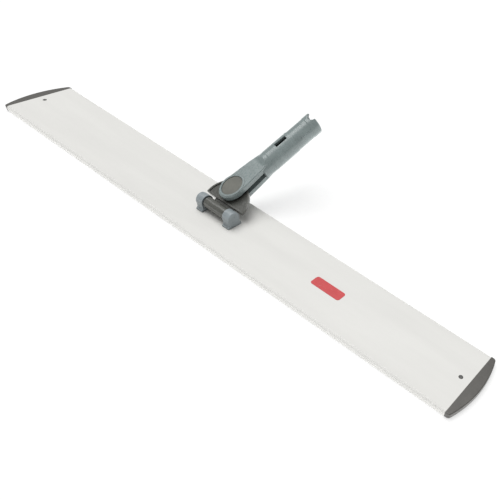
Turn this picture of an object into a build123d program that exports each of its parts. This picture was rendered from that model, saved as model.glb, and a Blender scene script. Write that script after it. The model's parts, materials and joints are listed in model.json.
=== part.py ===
from build123d import *
import os
from math import cos, radians, sin

# Flat mop frame, 24 inch class: a long thin plate that carries a pad on hook strips, and a
# two-way hinge with a round stub that a pole pushes onto.
# Row frame: origin at the centre of the plate's underside, +X along the plate, +Z up.
# The stub leans towards +Y. All sizes are in millimetres.

# ---- driving dimensions ----
PLATE_LENGTH = 582.0
PLATE_WIDTH = 72.0
PLATE_THICKNESS = 6.0
CAP_BULGE = 10.6            # how far the end cap's arc stands beyond the plate, on the centre line
AXLE_HEIGHT = 14.4          # hinge pin axis above the underside
YOKE_PITCH = 26.6           # tilt of the yoke above the plate at rest, degrees
STUB_SWING = 9.3            # swing of the stub towards +X at rest, degrees
PIVOT_DISTANCE = 25.2       # hinge pin axis to swivel axis, along the yoke
STUB_RADIUS = 10.55
STUB_END = 103.0            # swivel axis to the stub's open end
STUB_AXIS_RISE = -2.1       # stub axis above the yoke's plane through the hinge pin

# ---- plate section ----
CORE_HALF = 8.0             # half width of the closed chamber under the hinge
CORE_LOW = 1.4
CORE_HIGH = 3.4
STRIP_INNER = 11.0
STRIP_OUTER = 33.0
STRIP_TOP = 2.2
STRIP_LIP = 1.0             # the lips that hold a strip in its channel
LIP_HEIGHT = 0.7
STRIP_END_GAP = 1.0         # plate end to strip end
CHAMBER_LOW = 3.4
CHAMBER_HIGH = 4.7
CHAMBERS = [(11.5, 21.4), (22.6, 32.4)]
TOP_EDGE_RADIUS = 2.2
BOTTOM_EDGE_RADIUS = 1.2

# ---- end caps ----
CAP_SHOULDER = 4.2
CAP_CORNER_RADIUS = 3.0
CAP_EDGE_RADIUS = 1.0
TONGUE_LENGTH = 16.0
CAP_PIN_X = 282.4
CAP_PIN_RADIUS = 1.9
CAP_PIN_TOP = 5.6
CAP_PIN_TIP_RADIUS = 0.6
CAP_PIN_HEAD_RADIUS = 3.0
CAP_PIN_HEAD_BOTTOM = 0.2
CAP_PIN_HEAD_TOP = 0.8

# ---- bearing blocks ----
BLOCK_INNER = 13.9
BLOCK_OUTER = 22.7
KNUCKLE_RADIUS = 6.7
NECK_HALF = 6.3
FOOT_HALF = 8.0
FOOT_TOP = 7.5
FOOT_FLARE_RADIUS = 1.5
BLOCK_EDGE_RADIUS = 1.2
SCREW_Y = 3.8
SCREW_X = (BLOCK_INNER + BLOCK_OUTER) / 2
SCREW_RADIUS = 1.7
SCREW_TIP = 11.0
SCREW_TIP_ROOM = 0.3
SCREW_TIP_CHAMFER = 0.6
SCREW_ACCESS_RADIUS = 3.5   # hole in the lower skin that lets the head through
SCREW_HEAD_RADIUS = 3.2
SCREW_HEAD_HEIGHT = 1.9
SCREW_HEAD_EDGE = 0.8
DRIVE_REACH = 2.0           # half length of each slot of the cross recess
DRIVE_HALF = 0.35
DRIVE_DEPTH = 1.1

# ---- hinge pin and bushes ----
HINGE_PIN_RADIUS = 2.5
HINGE_PIN_HALF = 20.8
HINGE_PIN_CHAMFER = 0.5
BUSH_RADIUS = 3.6
BUSH_FLANGE_RADIUS = 4.7
BUSH_FLANGE = 0.7
BUSH_LENGTH = 8.0

# ---- yoke: x along the hinge, y away from the hinge, z out of the web ----
BARREL_RADIUS = 5.5
BARREL_HALF = 12.9
WEB_RADIUS = 24.0
WEB_CENTRE = 9.8
WEB_FRONT = 8.8
WEB_TOP = -1.7
WEB_BOTTOM = -3.3
RIM_TOP = -0.8
RIM_WIDTH = 1.6
WEB_CORNER_RADIUS = 1.0
NECK_HALF_LENGTH = 12.1
NECK_TOP = -2.6             # floor of the groove between the barrel and the web
NECK_BOTTOM = -4.5
SKIRT_BOTTOM = -5.6         # stiffening wall under the web's straight edge
SKIRT_THICKNESS = 1.2
SKIRT_HALF = 22.4
HUB_RADIUS = 8.2
HUB_TOP = 0.0
HUB_BOTTOM = -4.2

# ---- swivel hardware ----
BOLT_RADIUS = 3.0
BOLT_HEAD_RADIUS = 5.2
BOLT_HEAD_HEIGHT = 1.4
BOLT_EDGE = 0.5
SOCKET_RADIUS = 2.0
SOCKET_FLOOR = 0.7          # metal left under the socket
NUT_FLATS = 10.0
NUT_HEIGHT = 2.6
SWIVEL_BUSH_RADIUS = 4.5
WASHER_RADIUS = 7.5

# ---- clevis end of the stub ----
EAR_TOP = 5.7
EAR_BOTTOM = -10.0
GAP_TOP = 0.5
GAP_BOTTOM = -4.7
GAP_DEPTH = 30.5
EAR_NOSE = 14.6
EAR_HALF = 11.3
SHANK_END = 44.0            # where the clevis has faded into the round stub
EAR_TAPER = [(0.0, EAR_HALF), (20.0, 9.8), (30.0, 8.9), (SHANK_END, 7.0)]
EAR_TOP_EDGE = 1.0
EAR_BOTTOM_EDGE = 1.8
FLAT_END = 34.5             # where the flat top starts to rise to the round stub
RAMP_END = 40.0
RAMP_TOP = 8.6
RAMP_RADIUS = 5.0
COVER_HALF_LENGTH = 11.2
COVER_HALF_WIDTH = 9.1
COVER_RECESS = 0.8
RING_HEIGHT = 0.6           # raised ring around the upper cover
RING_WIDTH = 1.9
RING_EDGE = 0.5
COVER_THICKNESS = 0.9
COVER_EDGE = 0.3

# ---- pole end of the stub ----
STUB_BORE = 8.2
BORE_START = 44.0
WINDOW_START = 56.0
WINDOW_END = 69.5
WINDOW_HALF = 2.1
NOTCH_RADIUS = 4.8
NOTCH_INSET = 0.5           # centre of the notch, in from the open end
TUBE_START = 31.0
NECK_RADIUS = 10.4          # round part inside the clevis, a little under the stub's radius
WAIST_START = 73.0          # the stub is slightly waisted towards its open end
WAIST_END = 94.5
WAIST_STEP = 1.0            # length of the slope at each end of the waist
WAIST_RADIUS = 10.15
LIP_RADIUS = 10.45
LIP_CHAMFER = 0.7
RIB_ANGLES = (-65.0, -59.0)  # about the stub, from the window's centre line, degrees
RIB_START = 80.0
RIB_END = 95.0

# ---- label ----
LABEL_X = 139.8
LABEL_LENGTH = 33.0
LABEL_WIDTH = 11.0
LABEL_CORNER_RADIUS = 2.5
LABEL_THICKNESS = 0.2

# ---- clearances ----
RUNNING = 0.05
SLIP = 0.02
LOOSE = 0.1

# ---- helpers for cutting, joining and finding edges ----
PAST = 20.0                 # how far a through cutter reaches past the part's features
BITE = 1.0                  # how far a joined solid sinks into its neighbour
TOUCH = 0.01                # how close counts as being on a face

PITCH = radians(YOKE_PITCH)
SWING = radians(STUB_SWING)
YOKE_UP = Vector(0, cos(PITCH), sin(PITCH))
YOKE_NORMAL = Vector(0, -sin(PITCH), cos(PITCH))
AXLE = Vector(0, 0, AXLE_HEIGHT)
PIVOT = AXLE + YOKE_UP * PIVOT_DISTANCE
STUB_AXIS = YOKE_UP * cos(SWING) + Vector(1, 0, 0) * sin(SWING)
YOKE_FRAME = Plane(origin=AXLE, x_dir=(1, 0, 0), z_dir=YOKE_NORMAL)
STUB_FRAME = Plane(origin=PIVOT, x_dir=STUB_AXIS, z_dir=YOKE_NORMAL)


def block(x_range, y_range, z_range):
    """A box from its six bounds."""
    size = [high - low for low, high in (x_range, y_range, z_range)]
    centre = [(high + low) / 2 for low, high in (x_range, y_range, z_range)]
    return Pos(*centre) * Box(*size)


def rod(radius, low, high, x=0.0, y=0.0):
    """A cylinder along Z between two heights."""
    return Pos(x, y, (low + high) / 2) * Cylinder(radius, high - low)


def rod_along_x(radius, low, high, y=0.0, z=0.0):
    """A cylinder along X between two stations."""
    return Pos((low + high) / 2, y, z) * Rot(0, 90, 0) * Cylinder(radius, high - low)


def plate():
    """Hollow extrusion with two channels for the hook strips and a core under the hinge."""
    middle = PLATE_THICKNESS / 2
    outline = Pos(0, middle) * Rectangle(PLATE_WIDTH, PLATE_THICKNESS)
    top_corners = outline.vertices().group_by(Axis.Y)[-1]
    outline = fillet(top_corners, TOP_EDGE_RADIUS)
    bottom_corners = outline.vertices().group_by(Axis.Y)[0]
    outline = fillet(bottom_corners, BOTTOM_EDGE_RADIUS)
    outline -= Pos(0, (CORE_LOW + CORE_HIGH) / 2) * Rectangle(2 * CORE_HALF, CORE_HIGH - CORE_LOW)
    for side in (-1, 1):
        channel_y = side * (STRIP_INNER + STRIP_OUTER) / 2
        channel_width = STRIP_OUTER - STRIP_INNER
        channel_height = STRIP_TOP - LIP_HEIGHT
        channel = Pos(channel_y, LIP_HEIGHT + channel_height / 2) * Rectangle(
            channel_width, channel_height
        )
        mouth = Pos(channel_y, 0) * Rectangle(channel_width - 2 * STRIP_LIP, 2 * LIP_HEIGHT + SLIP)
        outline -= channel + mouth
        for low, high in CHAMBERS:
            outline -= Pos(side * (low + high) / 2, (CHAMBER_LOW + CHAMBER_HIGH) / 2) * Rectangle(
                high - low, CHAMBER_HIGH - CHAMBER_LOW
            )
    body = extrude(Plane.YZ * outline, PLATE_LENGTH / 2, both=True)
    for x in (-SCREW_X, SCREW_X):
        for y in (-SCREW_Y, SCREW_Y):
            body -= rod(SCREW_RADIUS + LOOSE, 0, PAST, x, y)
            body -= rod(SCREW_ACCESS_RADIUS, -PAST, CORE_LOW + SLIP, x, y)
    for x in (-CAP_PIN_X, CAP_PIN_X):
        body -= rod(CAP_PIN_RADIUS + LOOSE, -PAST, PAST, x)
        body -= rod(CAP_PIN_HEAD_RADIUS + LOOSE, -PAST, CAP_PIN_HEAD_TOP, x)
    return body


def end_cap():
    """Right-hand cap: a bowed nose with tongues that plug into the plate's chambers."""
    start = PLATE_LENGTH / 2
    half = PLATE_WIDTH / 2
    shoulder = start + CAP_SHOULDER
    nose = start + CAP_BULGE
    edges = [
        Line((start, half), (start, -half)),
        Line((start, -half), (shoulder, -half)),
        ThreePointArc((shoulder, -half), (nose, 0), (shoulder, half)),
        Line((shoulder, half), (start, half)),
    ]
    outline = make_face(edges)
    outer_corners = [v for v in outline.vertices() if v.X > start + TOUCH]
    outline = fillet(outer_corners, CAP_CORNER_RADIUS)
    body = extrude(outline, PLATE_THICKNESS)
    rim = []
    for height in (0.0, PLATE_THICKNESS):
        for edge in body.edges():
            if abs(edge.center().Z - height) < TOUCH and edge.center().X > start + TOUCH:
                rim.append(edge)
    body = fillet(rim, CAP_EDGE_RADIUS)
    tongue_span = (start - TONGUE_LENGTH, start + BITE)
    core_span = (-CORE_HALF + LOOSE, CORE_HALF - LOOSE)
    body += block(tongue_span, core_span, (CORE_LOW + LOOSE, CORE_HIGH - LOOSE))
    for side in (-1, 1):
        for low, high in CHAMBERS:
            y_span = sorted((side * (low + LOOSE), side * (high - LOOSE)))
            z_span = (CHAMBER_LOW + LOOSE, CHAMBER_HIGH - LOOSE)
            body += block(tongue_span, y_span, z_span)
    body -= rod(CAP_PIN_RADIUS + SLIP, 0, PLATE_THICKNESS, CAP_PIN_X)
    return body


def cap_pins():
    """Two push pins that hold the caps' centre tongues in the plate."""
    pins = []
    for x in (-CAP_PIN_X, CAP_PIN_X):
        pin = rod(CAP_PIN_RADIUS, CAP_PIN_HEAD_BOTTOM, CAP_PIN_TOP, x)
        pin += rod(CAP_PIN_HEAD_RADIUS, CAP_PIN_HEAD_BOTTOM, CAP_PIN_HEAD_TOP, x)
        top = pin.edges().sort_by(Axis.Z)[-1]
        pins.append(fillet(top, CAP_PIN_TIP_RADIUS))
    return pins


def hook_strip(side):
    """A hook tape strip that slides into its channel, +1 for the rear one."""
    low = side * (STRIP_INNER + LOOSE)
    high = side * (STRIP_OUTER - LOOSE)
    base = sorted((low, high))
    pile = (base[0] + STRIP_LIP, base[1] - STRIP_LIP)
    reach = PLATE_LENGTH / 2 - STRIP_END_GAP
    backing = block((-reach, reach), base, (LIP_HEIGHT + SLIP, STRIP_TOP - LOOSE))
    hooks = block((-reach, reach), pile, (0.0, LIP_HEIGHT + SLIP))
    return backing + hooks


def bearing_block():
    """Right-hand pillow block: a round knuckle on a neck with a flared foot."""
    neck_height = AXLE_HEIGHT - PLATE_THICKNESS
    foot_height = FOOT_TOP - PLATE_THICKNESS
    neck = Pos(0, PLATE_THICKNESS + neck_height / 2) * Rectangle(2 * NECK_HALF, neck_height)
    foot = Pos(0, PLATE_THICKNESS + foot_height / 2) * Rectangle(2 * FOOT_HALF, foot_height)
    side_view = Pos(0, AXLE_HEIGHT) * Circle(KNUCKLE_RADIUS) + neck + foot
    flare = []
    for corner in side_view.vertices():
        if abs(abs(corner.X) - NECK_HALF) < TOUCH and corner.Y < FOOT_TOP + TOUCH:
            flare.append(corner)
    side_view = fillet(flare, FOOT_FLARE_RADIUS)
    width = BLOCK_OUTER - BLOCK_INNER
    body = Pos(BLOCK_INNER, 0, 0) * extrude(Plane.YZ * side_view, width)
    outer_edges = []
    for edge in body.edges():
        if abs(edge.center().X - BLOCK_OUTER) < TOUCH and edge.center().Z > PLATE_THICKNESS + TOUCH:
            outer_edges.append(edge)
    body = fillet(outer_edges, BLOCK_EDGE_RADIUS)
    body -= rod_along_x(HINGE_PIN_RADIUS + SLIP, 0, HINGE_PIN_HALF + LOOSE, z=AXLE_HEIGHT)
    for y in (-SCREW_Y, SCREW_Y):
        body -= rod(SCREW_RADIUS + SLIP, 0, SCREW_TIP + SCREW_TIP_ROOM, SCREW_X, y)
    return body


def block_screws():
    """Four pan head screws, driven up through the plate into the blocks."""
    screws = []
    for x in (-SCREW_X, SCREW_X):
        for y in (-SCREW_Y, SCREW_Y):
            face = CORE_HIGH - SCREW_HEAD_HEIGHT
            head = rod(SCREW_HEAD_RADIUS, face, CORE_HIGH, x, y)
            head = fillet(head.edges().sort_by(Axis.Z)[0], SCREW_HEAD_EDGE)
            shank = rod(SCREW_RADIUS, face + DRIVE_DEPTH, SCREW_TIP, x, y)
            shank = chamfer(shank.edges().sort_by(Axis.Z)[-1], SCREW_TIP_CHAMFER)
            screw = shank + head
            for half_x, half_y in ((DRIVE_REACH, DRIVE_HALF), (DRIVE_HALF, DRIVE_REACH)):
                x_span = (x - half_x, x + half_x)
                y_span = (y - half_y, y + half_y)
                screw -= block(x_span, y_span, (face - DRIVE_DEPTH, face + DRIVE_DEPTH))
            screws.append(screw)
    return screws


def hinge_pin():
    """Steel axle, held in blind bores of the two blocks."""
    pin = rod_along_x(HINGE_PIN_RADIUS, -HINGE_PIN_HALF, HINGE_PIN_HALF, z=AXLE_HEIGHT)
    ends = [e for e in pin.edges() if e.geom_type == GeomType.CIRCLE]
    return chamfer(ends, HINGE_PIN_CHAMFER)


def hinge_bushes():
    """Flanged bushes in both ends of the yoke's barrel, in yoke coordinates."""
    bushes = []
    for side in (-1, 1):
        tube = sorted((side * (BARREL_HALF - BUSH_LENGTH), side * (BARREL_HALF + BUSH_FLANGE)))
        flange = sorted((side * (BARREL_HALF + SLIP), side * (BARREL_HALF + BUSH_FLANGE)))
        bush = rod_along_x(BUSH_RADIUS, *tube) + rod_along_x(BUSH_FLANGE_RADIUS, *flange)
        bush -= rod_along_x(HINGE_PIN_RADIUS + RUNNING, -PAST, PAST)
        bushes.append(YOKE_FRAME.location * bush)
    return bushes


def web_outline(inset):
    """The yoke web seen from above: a disc cut off square in front of the hinge."""
    disc = Pos(0, WEB_CENTRE) * Circle(WEB_RADIUS - inset)
    span = 2 * WEB_RADIUS
    keep = Pos(0, WEB_FRONT + inset + span) * Rectangle(2 * span, 2 * span)
    return disc & keep


def yoke():
    """Barrel on the hinge pin, with a dished half-round web that carries the swivel."""
    web = extrude(Pos(0, 0, WEB_BOTTOM) * web_outline(0), RIM_TOP - WEB_BOTTOM)
    corners = [e for e in web.edges().filter_by(Axis.Z) if abs(e.center().X) > SKIRT_HALF]
    web = fillet(corners, WEB_CORNER_RADIUS)
    web -= extrude(Pos(0, 0, WEB_TOP) * web_outline(RIM_WIDTH), PAST)
    barrel = rod_along_x(BARREL_RADIUS, -BARREL_HALF, BARREL_HALF)
    neck_span = (-NECK_HALF_LENGTH, NECK_HALF_LENGTH)
    neck = block(neck_span, (0, WEB_FRONT + BITE), (NECK_BOTTOM, NECK_TOP))
    skirt_span = (WEB_FRONT, WEB_FRONT + SKIRT_THICKNESS)
    skirt = block((-SKIRT_HALF, SKIRT_HALF), skirt_span, (SKIRT_BOTTOM, WEB_BOTTOM + BITE))
    hub = rod(HUB_RADIUS, HUB_BOTTOM, HUB_TOP, 0, PIVOT_DISTANCE)
    body = web + barrel + neck + skirt + hub
    body -= rod_along_x(BUSH_RADIUS + SLIP, -PAST, PAST)
    body -= rod(SWIVEL_BUSH_RADIUS + SLIP, -PAST, PAST, 0, PIVOT_DISTANCE)
    return YOKE_FRAME.location * body


def swivel_bush():
    """Plain bush in the web's hub."""
    ring = rod(SWIVEL_BUSH_RADIUS, HUB_BOTTOM, HUB_TOP)
    return STUB_FRAME.location * (ring - rod(BOLT_RADIUS + RUNNING, -PAST, PAST))


def swivel_washers():
    """Thrust washers between the web's hub and the two ears."""
    spans = [(HUB_TOP + RUNNING, GAP_TOP - RUNNING), (GAP_BOTTOM + RUNNING, HUB_BOTTOM - RUNNING)]
    hole = rod(BOLT_RADIUS + RUNNING, -PAST, PAST)
    return [STUB_FRAME.location * (rod(WASHER_RADIUS, low, high) - hole) for low, high in spans]


def bolt_seat():
    """Height of the bolt head's seat in the upper ear."""
    return EAR_TOP - COVER_RECESS - BOLT_HEAD_HEIGHT - LOOSE


def nut_seat():
    """Height of the nut's seat in the lower ear."""
    return EAR_BOTTOM + COVER_RECESS + NUT_HEIGHT + LOOSE


def swivel_bolt():
    """Low head bolt on the swivel axis."""
    seat = bolt_seat()
    shank = rod(BOLT_RADIUS, EAR_BOTTOM + COVER_RECESS + LOOSE, seat)
    shank = chamfer(shank.edges().sort_by(Axis.Z)[0], BOLT_EDGE)
    head = rod(BOLT_HEAD_RADIUS, seat, seat + BOLT_HEAD_HEIGHT)
    head = fillet(head.edges().sort_by(Axis.Z)[-1], BOLT_EDGE)
    socket = Pos(0, 0, seat + SOCKET_FLOOR) * extrude(RegularPolygon(SOCKET_RADIUS, 6), PAST)
    return STUB_FRAME.location * (shank + head - socket)


def swivel_nut():
    """Hexagon nut in its pocket in the lower ear."""
    seat = nut_seat()
    prism = Pos(0, 0, seat - NUT_HEIGHT) * extrude(
        RegularPolygon(NUT_FLATS / 2, 6, major_radius=False), NUT_HEIGHT
    )
    return STUB_FRAME.location * (prism - rod(BOLT_RADIUS + SLIP, -PAST, PAST))


def cover(clearance):
    """Oval outline shared by the covers and their recesses."""
    return Ellipse(COVER_HALF_LENGTH - clearance, COVER_HALF_WIDTH - clearance)


def swivel_cover_top():
    """Oval cover over the bolt head."""
    floor = EAR_TOP - COVER_RECESS
    disc = extrude(Pos(0, 0, floor) * cover(LOOSE), COVER_THICKNESS)
    disc = fillet(disc.edges().sort_by(Axis.Z)[-1], COVER_EDGE)
    return STUB_FRAME.location * disc


def swivel_cover_bottom():
    """Oval cover over the nut."""
    roof = EAR_BOTTOM + COVER_RECESS
    disc = extrude(Pos(0, 0, roof - COVER_THICKNESS) * cover(LOOSE), COVER_THICKNESS)
    disc = fillet(disc.edges().sort_by(Axis.Z)[0], COVER_EDGE)
    return STUB_FRAME.location * disc


def ear_outline():
    """The clevis seen along the swivel axis: an oval nose that narrows towards the stub."""
    nose = Ellipse(EAR_NOSE, EAR_HALF) & (Pos(-EAR_NOSE, 0) * Rectangle(2 * EAR_NOSE, 2 * EAR_NOSE))
    right_side = [(d, -half) for d, half in EAR_TAPER]
    shank = Polygon(*right_side, *reversed(EAR_TAPER), align=None)
    return nose + shank


def sector(inner, outer, start_angle, end_angle, low, high):
    """A ring sector about the stub's axis, angles from the window's centre line."""
    points = [(0, 0)]
    for angle in (start_angle, end_angle):
        points.append((2 * outer * sin(radians(angle)), 2 * outer * cos(radians(angle))))
    wedge = Polygon(*points, align=None)
    ring = Circle(outer) - Circle(inner)
    face = Plane.YZ * (ring & wedge)
    return Pos(low, 0, STUB_AXIS_RISE) * extrude(face, high - low)


def pole_stub():
    """Clevis and round stub in one moulding, in swivel coordinates."""
    rise = STUB_AXIS_RISE
    clevis = extrude(Pos(0, 0, EAR_BOTTOM) * ear_outline(), EAR_TOP - EAR_BOTTOM)
    top_rim = clevis.faces().sort_by(Axis.Z)[-1].edges()
    clevis = fillet(top_rim, EAR_TOP_EDGE)
    bottom_rim = clevis.faces().sort_by(Axis.Z)[0].edges()
    clevis = fillet(bottom_rim, EAR_BOTTOM_EDGE)
    profile = Polygon(
        (TUBE_START, 0),
        (TUBE_START, NECK_RADIUS),
        (SHANK_END - WAIST_STEP, NECK_RADIUS),
        (SHANK_END, STUB_RADIUS),
        (WAIST_START, STUB_RADIUS),
        (WAIST_START + WAIST_STEP, WAIST_RADIUS),
        (WAIST_END - WAIST_STEP, WAIST_RADIUS),
        (WAIST_END, LIP_RADIUS),
        (STUB_END - LIP_CHAMFER, LIP_RADIUS),
        (STUB_END, LIP_RADIUS - LIP_CHAMFER),
        (STUB_END, 0),
        align=None,
    )
    tube = Pos(0, 0, rise) * revolve(Plane.XZ * profile, Axis.X)
    ramp = Polygon(
        (0, EAR_TOP),
        (FLAT_END, EAR_TOP),
        (RAMP_END, RAMP_TOP),
        (RAMP_END, PAST),
        (0, PAST),
        align=None,
    )
    bend = [v for v in ramp.vertices() if abs(v.X - FLAT_END) < TOUCH]
    above_flat = extrude(Plane.XZ * fillet(bend, RAMP_RADIUS), PAST, both=True)
    body = clevis + (tube - above_flat)
    ring = extrude(Pos(0, 0, EAR_TOP - BITE) * cover(-RING_WIDTH), BITE + RING_HEIGHT)
    body += fillet(ring.edges().sort_by(Axis.Z)[-1], RING_EDGE)
    body -= block((-PAST, GAP_DEPTH), (-PAST, PAST), (GAP_BOTTOM, GAP_TOP))
    body -= rod_along_x(STUB_BORE, BORE_START, STUB_END + PAST, z=rise)
    body -= block((WINDOW_START, WINDOW_END), (-WINDOW_HALF, WINDOW_HALF), (rise, PAST))
    body -= rod(NOTCH_RADIUS, rise, PAST, STUB_END - NOTCH_INSET)
    for half_turn in (0, 180):
        rib = [half_turn + angle for angle in RIB_ANGLES]
        body += sector(STUB_BORE + BITE, LIP_RADIUS, *rib, RIB_START, RIB_END)
    body -= extrude(Pos(0, 0, EAR_TOP - COVER_RECESS) * cover(0), PAST)
    body -= extrude(Pos(0, 0, EAR_BOTTOM + COVER_RECESS) * cover(0), -PAST)
    body -= rod(BOLT_HEAD_RADIUS + LOOSE, bolt_seat(), EAR_TOP)
    nut_outline = RegularPolygon(NUT_FLATS / 2 + LOOSE, 6, major_radius=False)
    body -= Pos(0, 0, nut_seat()) * extrude(nut_outline, -PAST)
    body -= rod(BOLT_RADIUS + RUNNING, -PAST, PAST)
    return STUB_FRAME.location * body


def colour_tab():
    """Plain colour tab on the plate, with no lettering."""
    outline = RectangleRounded(LABEL_LENGTH, LABEL_WIDTH, LABEL_CORNER_RADIUS)
    return extrude(Pos(LABEL_X, 0, PLATE_THICKNESS) * outline, LABEL_THICKNESS)


def write(name, shape):
    """One STEP file for one node; a list becomes a group of separate solids."""
    if isinstance(shape, list):
        shape = Compound(children=shape)
    export_step(shape, f"parts/{name}.step")


def main():
    os.makedirs("parts", exist_ok=True)
    right_cap = end_cap()
    right_block = bearing_block()
    write("plate", plate())
    write("end_cap_right", right_cap)
    write("end_cap_left", mirror(right_cap, about=Plane.YZ))
    write("cap_pins", cap_pins())
    write("hook_strip_front", hook_strip(-1))
    write("hook_strip_rear", hook_strip(1))
    write("bearing_block_right", right_block)
    write("bearing_block_left", mirror(right_block, about=Plane.YZ))
    write("block_screws", block_screws())
    write("hinge_pin", hinge_pin())
    write("hinge_bushes", hinge_bushes())
    write("yoke", yoke())
    write("swivel_bush", swivel_bush())
    write("swivel_washers", swivel_washers())
    write("swivel_bolt", swivel_bolt())
    write("swivel_nut", swivel_nut())
    write("swivel_cover_top", swivel_cover_top())
    write("swivel_cover_bottom", swivel_cover_bottom())
    write("pole_stub", pole_stub())
    write("colour_tab", colour_tab())


main()
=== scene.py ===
import json
import math
import random

import bmesh
import bpy
from mathutils import Matrix, Vector


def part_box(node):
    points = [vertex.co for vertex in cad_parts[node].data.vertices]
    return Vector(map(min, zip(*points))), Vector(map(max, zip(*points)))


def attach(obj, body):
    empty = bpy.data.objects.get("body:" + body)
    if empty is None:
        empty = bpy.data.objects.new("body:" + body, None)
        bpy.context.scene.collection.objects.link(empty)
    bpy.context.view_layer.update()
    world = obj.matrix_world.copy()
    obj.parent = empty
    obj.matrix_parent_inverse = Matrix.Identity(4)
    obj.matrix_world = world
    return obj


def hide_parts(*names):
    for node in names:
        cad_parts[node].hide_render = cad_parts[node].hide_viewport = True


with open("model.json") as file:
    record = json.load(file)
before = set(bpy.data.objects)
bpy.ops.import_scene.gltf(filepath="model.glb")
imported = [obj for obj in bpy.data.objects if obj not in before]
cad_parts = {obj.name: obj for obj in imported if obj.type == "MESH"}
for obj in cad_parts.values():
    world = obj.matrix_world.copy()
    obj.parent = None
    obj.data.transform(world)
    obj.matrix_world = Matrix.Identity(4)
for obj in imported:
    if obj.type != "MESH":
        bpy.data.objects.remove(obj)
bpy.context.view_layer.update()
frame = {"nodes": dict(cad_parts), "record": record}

MM = 0.001

# ---- camera: place, aim, lens and lens shift ----
CAMERA_PLACE = Vector((0.35514, -0.24296, 0.33217))
CAMERA_RIGHT = Vector((0.80156, 0.57846, 0.15128))
CAMERA_DOWN = Vector((0.52633, -0.56259, -0.63755))
CAMERA_LENS = 36.73         # focal length and sensor width in millimetres
CAMERA_SENSOR = 36
CAMERA_NEAR = 10 * MM
CAMERA_SHIFT_X = -0.34
CAMERA_SHIFT_Y = 0.172
SHIFT_FADE = 50 * MM        # the lens shift is gone once the camera is this far from its place

# ---- light ----
SURROUND_LIGHT = 0.44       # the surround looks white but lights the object less
OVERHEAD_PLACE = (-0.3, 0.1, 1.0)
OVERHEAD_SPREAD = 50        # degrees
OVERHEAD_STRENGTH = 2.2

# ---- floor ----
FLOOR_REACH = 6.0
FLOOR_DROP = 0.2 * MM       # the gap that keeps the floor off the plate's underside
FLOOR_TONE = 0.96
FLOOR_GLOW = 0.6
SEEN_FLOOR_TONE = 0.45      # what the camera sees is kept just at white, so that edges stay smooth
SEEN_FLOOR_GLOW = 0.56

# ---- hook tape ----
HOOK_PITCH_X = 2.4 * MM
HOOK_PITCH_Y = 1.9 * MM
HOOK_MARGIN = 2.2 * MM      # bare border around the hooks
HOOK_ZONE = 0.7 * MM        # depth under the tape that the hooks fill
HOOK_WIRE = 0.13 * MM       # radius
HOOK_BEND = 0.42 * MM       # radius
HOOK_STEM = 0.35            # share of a hook's steps that is straight
HOOK_SIDES = 3
HOOK_STEPS = 5
HOOK_DRIFT_X = 0.15 * MM
HOOK_DRIFT_Y = 0.12 * MM
HOOK_TURN = 0.35            # radians, either way
TAPE_BUMP_PITCH = 1.2 * MM
TAPE_BUMP_HEIGHT = 0.07 * MM
TAPE_ROWS = 12              # of bumps, across the strip

# ---- surfaces ----
BEVEL_SAMPLES = 4
EDGE_STARTS = 0.965         # cosine of the rounded normal's lean where an edge begins
EDGE_FULL = 0.78            # and where the edge is at full strength
CREVICE_SAMPLES = 6
CREVICE_REACH = 4 * MM
CREVICE_OPEN = 0.85         # share of open sky above which nothing counts as a gap
CREVICE_TIGHT = 0.25        # and below which the gap is at full strength
PLASTIC_IOR = 1.58

random.seed(24)


# ---------------------------------------------------------------- shader parts
def new_material(name):
    """A node material with only its output and Principled shader."""
    material = bpy.data.materials.new(name)
    material.use_nodes = True
    tree = material.node_tree
    tree.nodes.clear()
    output = tree.nodes.new("ShaderNodeOutputMaterial")
    shader = tree.nodes.new("ShaderNodeBsdfPrincipled")
    tree.links.new(shader.outputs["BSDF"], output.inputs["Surface"])
    return material, tree, shader


def object_coordinates(tree, stretch=(1, 1, 1)):
    """Object coordinates, optionally stretched so that grain runs one way."""
    source = tree.nodes.new("ShaderNodeTexCoord")
    mapping = tree.nodes.new("ShaderNodeMapping")
    mapping.inputs["Scale"].default_value = stretch
    tree.links.new(source.outputs["Object"], mapping.inputs["Vector"])
    return mapping.outputs["Vector"]


def noise(tree, vector, scale, detail, roughness=0.55):
    """Noise value, 0 to 1."""
    texture = tree.nodes.new("ShaderNodeTexNoise")
    texture.inputs["Scale"].default_value = scale
    texture.inputs["Detail"].default_value = detail
    texture.inputs["Roughness"].default_value = roughness
    tree.links.new(vector, texture.inputs["Vector"])
    return texture.outputs["Fac"]


def remap(tree, value, low, high, to_low, to_high):
    """A value's range mapped to another, clamped."""
    node = tree.nodes.new("ShaderNodeMapRange")
    node.inputs["From Min"].default_value = low
    node.inputs["From Max"].default_value = high
    node.inputs["To Min"].default_value = to_low
    node.inputs["To Max"].default_value = to_high
    tree.links.new(value, node.inputs["Value"])
    return node.outputs["Result"]


def spread(tree, value, to_low, to_high):
    """Noise, which keeps close to its middle, spread over a range."""
    return remap(tree, value, 0.3, 0.7, to_low, to_high)


def by_ray(tree, unseen, seen):
    """One value for the light that reaches the object and another for what the camera sees."""
    rays = tree.nodes.new("ShaderNodeLightPath")
    return remap(tree, rays.outputs["Is Camera Ray"], 0, 1, unseen, seen)


def combine(tree, operation, first, second):
    """Two values put through a maths operation."""
    node = tree.nodes.new("ShaderNodeMath")
    node.operation = operation
    tree.links.new(first, node.inputs[0])
    tree.links.new(second, node.inputs[1])
    return node.outputs["Value"]


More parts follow.
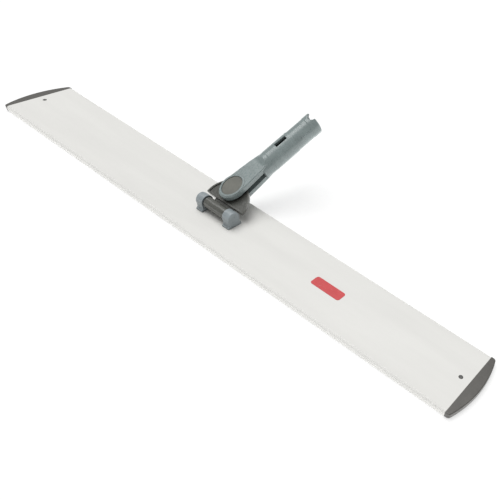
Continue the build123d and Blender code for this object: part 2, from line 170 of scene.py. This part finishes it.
def mix_colours(tree, factor, first, second):
    """Two colours mixed by a value; either colour can be a tuple or a socket."""
    node = tree.nodes.new("ShaderNodeMix")
    node.data_type = "RGBA"
    tree.links.new(factor, node.inputs["Factor"])
    colour_sockets = [socket for socket in node.inputs if socket.type == "RGBA"]
    for socket, colour in zip(colour_sockets, (first, second)):
        if isinstance(colour, tuple):
            socket.default_value = (*colour, 1.0)
        else:
            tree.links.new(colour, socket)
    return next(socket for socket in node.outputs if socket.type == "RGBA")


def rounded_normal(tree, radius):
    """The surface normal with edges rounded over a radius."""
    bevel = tree.nodes.new("ShaderNodeBevel")
    bevel.samples = BEVEL_SAMPLES
    bevel.inputs["Radius"].default_value = radius
    return bevel.outputs["Normal"]


def edge_mask(tree, radius):
    """1 on edges and 0 on flats, from how far the rounded normal leans off the true one."""
    geometry = tree.nodes.new("ShaderNodeNewGeometry")
    dot = tree.nodes.new("ShaderNodeVectorMath")
    dot.operation = "DOT_PRODUCT"
    tree.links.new(rounded_normal(tree, radius), dot.inputs[0])
    tree.links.new(geometry.outputs["Normal"], dot.inputs[1])
    return remap(tree, dot.outputs["Value"], EDGE_STARTS, EDGE_FULL, 0.0, 1.0)


def crevice_shade_mask(tree, reach):
    """1 in tight gaps and corners, 0 in the open: where painted shade goes."""
    occlusion = tree.nodes.new("ShaderNodeAmbientOcclusion")
    occlusion.samples = CREVICE_SAMPLES
    occlusion.inputs["Distance"].default_value = reach
    return remap(tree, occlusion.outputs["AO"], CREVICE_TIGHT, CREVICE_OPEN, 1.0, 0.0)


def add_bump(tree, shader, height, strength, distance, radius=0.0):
    """A bump on the shader's normal, over rounded edges where a radius is given."""
    bump = tree.nodes.new("ShaderNodeBump")
    bump.inputs["Strength"].default_value = strength
    bump.inputs["Distance"].default_value = distance
    tree.links.new(height, bump.inputs["Height"])
    if radius:
        tree.links.new(rounded_normal(tree, radius), bump.inputs["Normal"])
    tree.links.new(bump.outputs["Normal"], shader.inputs["Normal"])


def scaled(colour, factor):
    """A colour made lighter or darker."""
    return tuple(min(1.0, c * factor) for c in colour)


# ---------------------------------------------------------------- materials
def moulded_plastic(name, colour, wear_and_highlight_colour, roughness=0.36):
    """Moulded plastic: mottled colour, fine texture, paler edges that are partly wear and partly
    painted highlight, and painted shade in the gaps.
    """
    material, tree, shader = new_material(name)
    vector = object_coordinates(tree)
    blotches = spread(tree, noise(tree, vector, scale=90, detail=3), 0, 1)
    body = mix_colours(tree, blotches, scaled(colour, 0.88), scaled(colour, 1.1))
    patches = remap(tree, noise(tree, vector, scale=420, detail=5), 0.35, 0.65, 0.35, 1.0)
    # Paler edges: partly wear and partly a painted highlight along edges and rims.
    edge_wear_and_highlight = combine(tree, "MULTIPLY", edge_mask(tree, 0.6 * MM), patches)
    surface = mix_colours(tree, edge_wear_and_highlight, body, wear_and_highlight_colour)
    # Painted shade: the colour darkens to 0.3 of itself in tight gaps and corners.
    gap_shaded = mix_colours(tree, crevice_shade_mask(tree, CREVICE_REACH), surface, scaled(colour, 0.3))
    gloss = spread(tree, noise(tree, vector, scale=500, detail=3), roughness - 0.08, roughness + 0.1)
    tree.links.new(gap_shaded, shader.inputs["Base Color"])
    tree.links.new(gloss, shader.inputs["Roughness"])
    shader.inputs["IOR"].default_value = PLASTIC_IOR
    grain = noise(tree, vector, scale=2600, detail=2)
    add_bump(tree, shader, grain, strength=0.06, distance=0.04 * MM, radius=0.35 * MM)
    return material


def powder_coat(name, colour):
    """Powder coat: orange peel, faint smudges and slightly darker edges."""
    material, tree, shader = new_material(name)
    vector = object_coordinates(tree)
    along = object_coordinates(tree, (0.12, 1, 1))
    smudges = spread(tree, noise(tree, along, scale=60, detail=4), 0, 1)
    body = mix_colours(tree, smudges, scaled(colour, 0.965), scaled(colour, 1.02))
    # Edges a little darker than the flats.
    coat = mix_colours(tree, edge_mask(tree, 0.5 * MM), body, scaled(colour, 0.93))
    gloss = spread(tree, noise(tree, vector, scale=140, detail=4), 0.48, 0.65)
    tree.links.new(coat, shader.inputs["Base Color"])
    tree.links.new(gloss, shader.inputs["Roughness"])
    shader.inputs["Specular IOR Level"].default_value = 0.25
    peel = noise(tree, vector, scale=700, detail=2)
    add_bump(tree, shader, peel, strength=0.08, distance=0.05 * MM)
    return material


def ground_steel(name, colour, roughness, stretch):
    """Steel with fine lines along one direction."""
    material, tree, shader = new_material(name)
    lines = noise(tree, object_coordinates(tree, stretch), scale=1500, detail=3)
    tone = mix_colours(tree, lines, scaled(colour, 0.8), scaled(colour, 1.15))
    gloss = spread(tree, lines, roughness - 0.08, roughness + 0.12)
    tree.links.new(tone, shader.inputs["Base Color"])
    tree.links.new(gloss, shader.inputs["Roughness"])
    shader.inputs["Metallic"].default_value = 1.0
    add_bump(tree, shader, lines, strength=0.2, distance=0.02 * MM, radius=0.15 * MM)
    return material


def woven_nylon(name, colour):
    """Hook tape ground: over-and-under weave with a slight sheen and some dust."""
    material, tree, shader = new_material(name)
    vector = object_coordinates(tree)
    threads = []
    for direction in ("X", "Y"):
        wave = tree.nodes.new("ShaderNodeTexWave")
        wave.wave_type = "BANDS"
        wave.bands_direction = direction
        wave.inputs["Scale"].default_value = 330
        wave.inputs["Distortion"].default_value = 0.4
        tree.links.new(vector, wave.inputs["Vector"])
        threads.append(wave.outputs["Fac"])
    weave = combine(tree, "MAXIMUM", *threads)
    tone = mix_colours(tree, weave, scaled(colour, 0.5), scaled(colour, 1.6))
    dust = remap(tree, noise(tree, vector, scale=160, detail=4), 0.5, 0.8, 0.0, 0.35)
    dusty = mix_colours(tree, dust, tone, (0.16, 0.15, 0.14))
    tree.links.new(dusty, shader.inputs["Base Color"])
    shader.inputs["Roughness"].default_value = 0.75
    shader.inputs["Sheen Weight"].default_value = 0.3
    add_bump(tree, shader, weave, strength=0.6, distance=0.08 * MM)
    return material


def printed_film(name, colour):
    """Plain coloured film: even colour with small scuffs."""
    material, tree, shader = new_material(name)
    vector = object_coordinates(tree)
    scratches = noise(tree, object_coordinates(tree, (0.3, 1.4, 1)), scale=900, detail=6, roughness=0.7)
    scuffs = remap(tree, scratches, 0.6, 0.72, 0.0, 0.5)
    cloud = noise(tree, vector, scale=120, detail=3)
    tone = mix_colours(tree, cloud, scaled(colour, 0.85), scaled(colour, 1.12))
    scuffed = mix_colours(tree, scuffs, tone, (0.62, 0.42, 0.38))
    gloss = spread(tree, noise(tree, vector, scale=400, detail=3), 0.28, 0.45)
    tree.links.new(scuffed, shader.inputs["Base Color"])
    tree.links.new(gloss, shader.inputs["Roughness"])
    waviness = noise(tree, vector, scale=700, detail=2)
    add_bump(tree, shader, waviness, strength=0.1, distance=0.03 * MM)
    return material


def make_materials():
    """One material for each slot of the record; a plastic has its colour, its edge colour (partly wear,
    partly painted highlight) and roughness.
    """
    recipes = {
        "frame_white": (powder_coat, (0.72, 0.715, 0.69)),
        "cap_dark": (moulded_plastic, (0.080, 0.076, 0.068), (0.15, 0.145, 0.13)),
        "pin_dark": (moulded_plastic, (0.09, 0.088, 0.085), (0.16, 0.155, 0.15)),
        "block_grey": (moulded_plastic, (0.25, 0.285, 0.30), (0.42, 0.46, 0.48), 0.32),
        "stub_grey": (moulded_plastic, (0.203, 0.246, 0.244), (0.36, 0.41, 0.42), 0.28),
        "yoke_dark": (moulded_plastic, (0.088, 0.09, 0.08), (0.29, 0.285, 0.27), 0.22),
        "cover_taupe": (moulded_plastic, (0.132, 0.134, 0.115), (0.22, 0.215, 0.19), 0.6),
        # Near-black bushes: their dark colour is partly painted shade, matching the gap shadow at the
        # barrel's ends.
        "bush_dark": (moulded_plastic, (0.035, 0.035, 0.035), (0.07, 0.07, 0.07), 0.3),
        "pin_steel": (ground_steel, (0.58, 0.58, 0.59), 0.25, (0.1, 1, 1)),
        "screw_steel": (ground_steel, (0.52, 0.52, 0.54), 0.35, (1, 1, 0.2)),
        "hook_tape": (woven_nylon, (0.045, 0.045, 0.05)),
        "tab_red": (printed_film, (0.56, 0.05, 0.055)),
    }
    return {slot: make(slot, *values) for slot, (make, *values) in recipes.items()}


def paint_cad_nodes(materials):
    """Each CAD node takes the material of its slot."""
    for entry in frame["record"]["subparts"]:
        node = frame["nodes"][entry["node"]]
        node.data.materials.clear()
        node.data.materials.append(materials[entry["material_slot"]])


# ---------------------------------------------------------------- hook strips
def add_piece(mesh, name, material):
    """A bmesh as a named object with its material."""
    data = bpy.data.meshes.new(name)
    mesh.to_mesh(data)
    mesh.free()
    data.materials.append(material)
    piece = bpy.data.objects.new(name, data)
    bpy.context.scene.collection.objects.link(piece)
    return piece


def tape_ground(low, high):
    """The strip's woven ground: a slab with a checker pattern of low bumps on its lower face."""
    mesh = bmesh.new()
    columns = 2 * int((high.x - low.x) / TAPE_BUMP_PITCH)
    lower = []
    for i in range(columns + 1):
        x = low.x + (high.x - low.x) * i / columns
        row = []
        for j in range(TAPE_ROWS + 1):
            y = low.y + (high.y - low.y) * j / TAPE_ROWS
            on_rim = i in (0, columns) or j in (0, TAPE_ROWS)
            crest = 0.0 if on_rim or (i + j) % 2 == 0 else TAPE_BUMP_HEIGHT
            row.append(mesh.verts.new((x, y, low.z - crest)))
        lower.append(row)
    for i in range(columns):
        for j in range(TAPE_ROWS):
            mesh.faces.new((lower[i][j], lower[i][j + 1], lower[i + 1][j + 1], lower[i + 1][j]))
    rim = [lower[i][0] for i in range(columns + 1)]
    rim += [lower[columns][j] for j in range(1, TAPE_ROWS + 1)]
    rim += [lower[i][TAPE_ROWS] for i in range(columns - 1, -1, -1)]
    rim += [lower[0][j] for j in range(TAPE_ROWS - 1, 0, -1)]
    upper = [mesh.verts.new((v.co.x, v.co.y, high.z)) for v in rim]
    for i in range(len(rim)):
        mesh.faces.new((rim[i - 1], rim[i], upper[i], upper[i - 1]))
    mesh.faces.new(upper)
    bmesh.ops.recalc_face_normals(mesh, faces=mesh.faces)
    return mesh


def add_hook(mesh, root, reach, turn):
    """One J-shaped hook that stands down from root and bends over at its tip."""
    heading = Vector((math.cos(turn), math.sin(turn), 0))
    across = Vector((-heading.y, heading.x, 0))
    rings = []
    for step in range(HOOK_STEPS + 1):
        share = step / HOOK_STEPS
        bend = math.pi * max(0.0, share - HOOK_STEM) / (1 - HOOK_STEM)
        straight = (reach - HOOK_BEND) * min(1.0, share / HOOK_STEM)
        offset = HOOK_BEND * (1 - math.cos(bend))
        drop = straight + HOOK_BEND * math.sin(bend)
        centre = root + heading * offset - Vector((0, 0, drop))
        outward = heading * math.cos(bend) + Vector((0, 0, math.sin(bend)))
        ring = []
        for side in range(HOOK_SIDES):
            angle = 2 * math.pi * side / HOOK_SIDES
            radial = outward * math.cos(angle) + across * math.sin(angle)
            ring.append(mesh.verts.new(centre + HOOK_WIRE * radial))
        rings.append(ring)
    for first, second in zip(rings, rings[1:]):
        for side in range(HOOK_SIDES):
            after = (side + 1) % HOOK_SIDES
            mesh.faces.new((first[side], first[after], second[after], second[side]))
    mesh.faces.new(rings[0][::-1])
    mesh.faces.new(rings[-1])


def hook_strip(node, material):
    """Hook tape with its ground and rows of hooks, in place of the plain CAD strip."""
    low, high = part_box(node)
    tape_low = Vector((low.x, low.y, low.z + HOOK_ZONE))
    mesh = tape_ground(tape_low, high)
    reach = HOOK_ZONE - TAPE_BUMP_HEIGHT
    rows = int((high.y - low.y - 2 * HOOK_MARGIN) / HOOK_PITCH_Y) + 1
    columns = int((high.x - low.x - 2 * HOOK_MARGIN) / HOOK_PITCH_X) + 1
    for i in range(columns):
        for j in range(rows):
            x = low.x + HOOK_MARGIN + i * HOOK_PITCH_X + random.uniform(-HOOK_DRIFT_X, HOOK_DRIFT_X)
            y = low.y + HOOK_MARGIN + j * HOOK_PITCH_Y + random.uniform(-HOOK_DRIFT_Y, HOOK_DRIFT_Y)
            turn = (math.pi if j % 2 else 0.0) + random.uniform(-HOOK_TURN, HOOK_TURN)
            add_hook(mesh, Vector((x, y, tape_low.z)), reach, turn)
    piece = add_piece(mesh, "visual_" + node, material)
    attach(piece, "base")
    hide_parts(node)


# ---------------------------------------------------------------- stage
def add_floor():
    """Plain pale floor with a faint glow of its own, like a light table."""
    mesh = bmesh.new()
    outline = ((-1, -1), (1, -1), (1, 1), (-1, 1))
    corners = [mesh.verts.new((x * FLOOR_REACH, y * FLOOR_REACH, -FLOOR_DROP)) for x, y in outline]
    mesh.faces.new(corners)
    material, tree, shader = new_material("floor")
    blotches = noise(tree, object_coordinates(tree), scale=3, detail=2)
    tone = tree.nodes.new("ShaderNodeVectorMath")
    tone.operation = "SCALE"
    tree.links.new(mix_colours(tree, blotches, (0.99, 0.99, 0.99), (1.0, 1.0, 1.0)), tone.inputs[0])
    tree.links.new(by_ray(tree, FLOOR_TONE, SEEN_FLOOR_TONE), tone.inputs["Scale"])
    tree.links.new(tone.outputs["Vector"], shader.inputs["Base Color"])
    tree.links.new(by_ray(tree, FLOOR_GLOW, SEEN_FLOOR_GLOW), shader.inputs["Emission Strength"])
    shader.inputs["Emission Color"].default_value = (1.0, 1.0, 1.0, 1.0)
    shader.inputs["Roughness"].default_value = 0.9
    shader.inputs["Specular IOR Level"].default_value = 0.0
    add_piece(mesh, "floor", material)


def add_surround():
    """A white surround that looks brighter than the light it gives."""
    world = bpy.data.worlds.new("studio")
    world.use_nodes = True
    tree = world.node_tree
    background = tree.nodes["Background"]
    background.inputs["Color"].default_value = (1.0, 1.0, 1.0, 1.0)
    tree.links.new(by_ray(tree, SURROUND_LIGHT, 1.0), background.inputs["Strength"])
    bpy.context.scene.world = world
    bpy.context.scene.view_settings.view_transform = "Standard"


def add_overhead_light():
    """A far, broad softbox overhead: a sun lamp whose light is spread over a wide angle."""
    data = bpy.data.lights.new("overhead", "SUN")
    data.angle = math.radians(OVERHEAD_SPREAD)
    data.energy = OVERHEAD_STRENGTH
    light = bpy.data.objects.new("overhead", data)
    light.location = OVERHEAD_PLACE
    light.rotation_euler = (-Vector(OVERHEAD_PLACE)).to_track_quat("-Z", "Y").to_euler()
    bpy.context.scene.collection.objects.link(light)


def add_camera():
    """The camera, with its lens shift tied to its place so that a moved camera looks straight ahead."""
    data = bpy.data.cameras.new("camera")
    data.sensor_width = CAMERA_SENSOR
    data.lens = CAMERA_LENS
    data.clip_start = CAMERA_NEAR
    camera = bpy.data.objects.new("camera", data)
    bpy.context.scene.collection.objects.link(camera)
    back = CAMERA_RIGHT.cross(-CAMERA_DOWN)
    turn = Matrix((CAMERA_RIGHT, -CAMERA_DOWN, back)).transposed()
    camera.matrix_world = Matrix.Translation(CAMERA_PLACE) @ turn.to_4x4()
    home = bpy.data.objects.new("camera_home", None)
    home.location = CAMERA_PLACE
    bpy.context.scene.collection.objects.link(home)
    for channel, shift in (("shift_x", CAMERA_SHIFT_X), ("shift_y", CAMERA_SHIFT_Y)):
        curve = data.driver_add(channel)
        curve.driver.type = "AVERAGE"
        distance = curve.driver.variables.new()
        distance.type = "LOC_DIFF"
        distance.targets[0].id = camera
        distance.targets[1].id = home
        for modifier in list(curve.modifiers):
            curve.modifiers.remove(modifier)
        for away, value in ((0.0, shift), (SHIFT_FADE, 0.0)):
            curve.keyframe_points.insert(away, value).interpolation = "LINEAR"
    bpy.context.scene.camera = camera


def main():
    """The whole scene around the frame."""
    materials = make_materials()
    paint_cad_nodes(materials)
    for node in ("hook_strip_front", "hook_strip_rear"):
        hook_strip(node, materials["hook_tape"])
    add_floor()
    add_surround()
    add_overhead_light()
    add_camera()


main()
bpy.context.view_layer.update()
